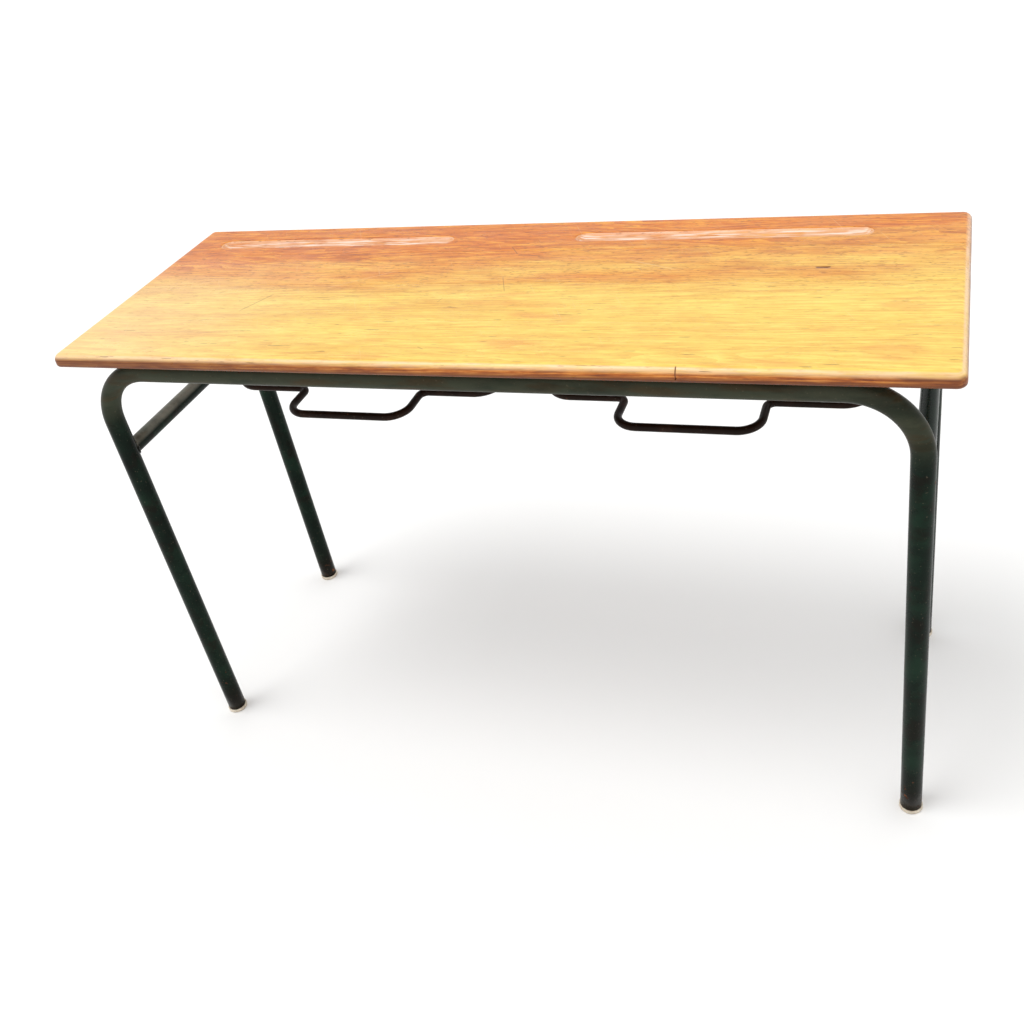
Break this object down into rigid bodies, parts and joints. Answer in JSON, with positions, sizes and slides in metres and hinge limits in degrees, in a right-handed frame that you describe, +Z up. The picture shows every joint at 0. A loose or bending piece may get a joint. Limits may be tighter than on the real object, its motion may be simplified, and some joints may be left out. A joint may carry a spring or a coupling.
{
  "type": "double school desk",
  "caption": "Two-place school desk with an edge-glued oak top, routed pen grooves, bent green tube frame and bent-rod book racks.",
  "frame": {"origin": "on the floor under the middle of the top's outline", "axes": "+X along the desk to the right, +Y away from the sitters towards the pen grooves, +Z up"},
  "size_m": [1.25, 0.45, 0.746],
  "materials": {
    "varnished_oak": "aged gloss varnish",
    "green_enamel": "worn semi-gloss enamel",
    "brown_enamel": "worn satin enamel",
    "zinc_steel": "dull zinc plating",
    "cream_polyamide": "scuffed moulded"
  },
  "bodies": {
    "root": {"board_front": "varnished_oak", "board_mid_front": "varnished_oak", "board_mid_rear": "varnished_oak", "board_rear": "varnished_oak", "front_leg_hoop": "green_enamel", "rear_leg_hoop": "green_enamel", "left_side_stretcher": "green_enamel", "right_side_stretcher": "green_enamel", "rear_cross_tube": "green_enamel", "left_rack_rod": "brown_enamel", "left_rack_cross_rod_1": "brown_enamel", "left_rack_cross_rod_2": "brown_enamel", "right_rack_rod": "brown_enamel", "right_rack_cross_rod_1": "brown_enamel", "right_rack_cross_rod_2": "brown_enamel", "front_fixing_tab_1": "green_enamel", "front_fixing_tab_2": "green_enamel", "front_fixing_tab_3": "green_enamel", "rear_fixing_tab_1": "green_enamel", "rear_fixing_tab_2": "green_enamel", "rear_fixing_tab_3": "green_enamel", "front_top_screw_1": "zinc_steel", "front_top_screw_2": "zinc_steel", "front_top_screw_3": "zinc_steel", "rear_top_screw_1": "zinc_steel", "rear_top_screw_2": "zinc_steel", "rear_top_screw_3": "zinc_steel", "front_left_glide": "cream_polyamide", "front_right_glide": "cream_polyamide", "rear_left_glide": "cream_polyamide", "rear_right_glide": "cream_polyamide"}
  },
  "joints": []
}
